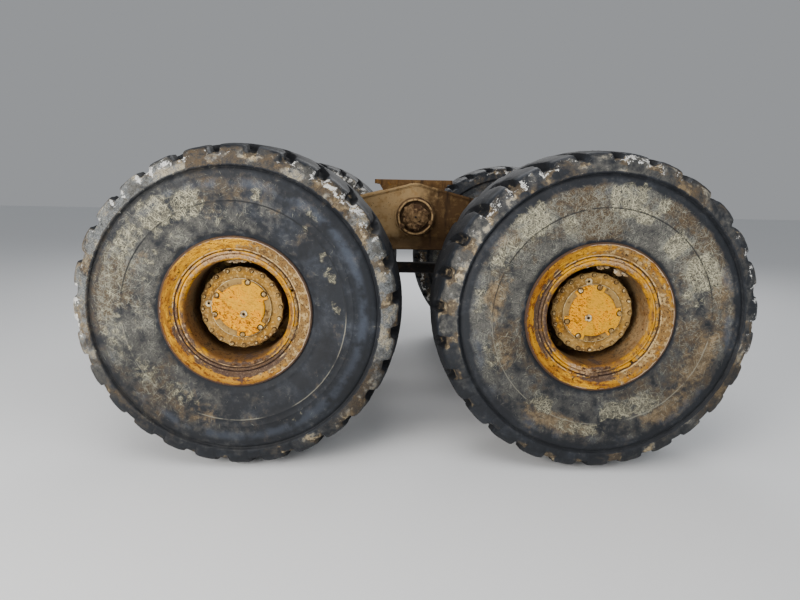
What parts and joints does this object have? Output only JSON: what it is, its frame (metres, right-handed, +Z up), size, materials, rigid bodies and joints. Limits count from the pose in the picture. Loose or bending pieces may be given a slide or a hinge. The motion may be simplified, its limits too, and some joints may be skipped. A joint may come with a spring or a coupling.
{
  "type": "rear tandem bogie of an articulated dump truck",
  "caption": "Tandem driven axles on walking beams and rubber springs under a cross tube, with earthmover wheels, for the rear frame of a dump truck.",
  "frame": {"origin": "on the ground, under the middle of the bogie, halfway between the axles and between the wheels", "axes": "+X towards the rear of the truck, +Y towards its right side, +Z up"},
  "size_m": [3.6, 3.276, 1.72],
  "materials": {
    "tyre_rubber": "matte",
    "rim_paint": "satin",
    "hub_paint": "satin",
    "beam_paint": "matte",
    "frame_paint": "matte",
    "axle_paint": "matte",
    "spring_rubber": "matte",
    "shaft_steel": "matte",
    "brake_iron": "matte"
  },
  "bodies": {
    "bogie": {"cross_tube": "frame_paint", "frame_saddles": "frame_paint", "trunnion_caps": "beam_paint", "beam_left": "beam_paint", "beam_right": "beam_paint", "spring_mounts_front": "spring_rubber", "spring_mounts_rear": "spring_rubber", "axle_housing_front": "axle_paint", "axle_housing_rear": "axle_paint", "diff_carrier_front": "axle_paint", "diff_carrier_rear": "axle_paint", "control_rods_front": "frame_paint", "control_rods_rear": "frame_paint", "drive_shaft": "shaft_steel", "brake_calipers_front": "brake_iron", "brake_calipers_rear": "brake_iron"},
    "wheel_left_front": {"tyre_left_front": "tyre_rubber", "rim_left_front": "rim_paint", "flange_ring_left_front": "rim_paint", "lock_ring_left_front": "rim_paint", "hub_left_front": "hub_paint", "hub_cover_left_front": "hub_paint", "brake_disc_left_front": "brake_iron"},
    "wheel_left_rear": {"tyre_left_rear": "tyre_rubber", "rim_left_rear": "rim_paint", "flange_ring_left_rear": "rim_paint", "lock_ring_left_rear": "rim_paint", "hub_left_rear": "hub_paint", "hub_cover_left_rear": "hub_paint", "brake_disc_left_rear": "brake_iron"},
    "wheel_right_front": {"tyre_right_front": "tyre_rubber", "rim_right_front": "rim_paint", "flange_ring_right_front": "rim_paint", "lock_ring_right_front": "rim_paint", "hub_right_front": "hub_paint", "hub_cover_right_front": "hub_paint", "brake_disc_right_front": "brake_iron"},
    "wheel_right_rear": {"tyre_right_rear": "tyre_rubber", "rim_right_rear": "rim_paint", "flange_ring_right_rear": "rim_paint", "lock_ring_right_rear": "rim_paint", "hub_right_rear": "hub_paint", "hub_cover_right_rear": "hub_paint", "brake_disc_right_rear": "brake_iron"}
  },
  "joints": [
    {"name": "roll_left_front", "type": "hinge", "parent": "bogie", "child": "wheel_left_front", "pos_m": [-0.94, -1.3, 0.86], "axis": [0, 1, 0], "continuous": true},
    {"name": "roll_left_rear", "type": "hinge", "parent": "bogie", "child": "wheel_left_rear", "pos_m": [0.94, -1.3, 0.86], "axis": [0, 1, 0], "continuous": true},
    {"name": "roll_right_front", "type": "hinge", "parent": "bogie", "child": "wheel_right_front", "pos_m": [-0.94, 1.3, 0.86], "axis": [0, 1, 0], "continuous": true},
    {"name": "roll_right_rear", "type": "hinge", "parent": "bogie", "child": "wheel_right_rear", "pos_m": [0.94, 1.3, 0.86], "axis": [0, 1, 0], "continuous": true}
  ]
}
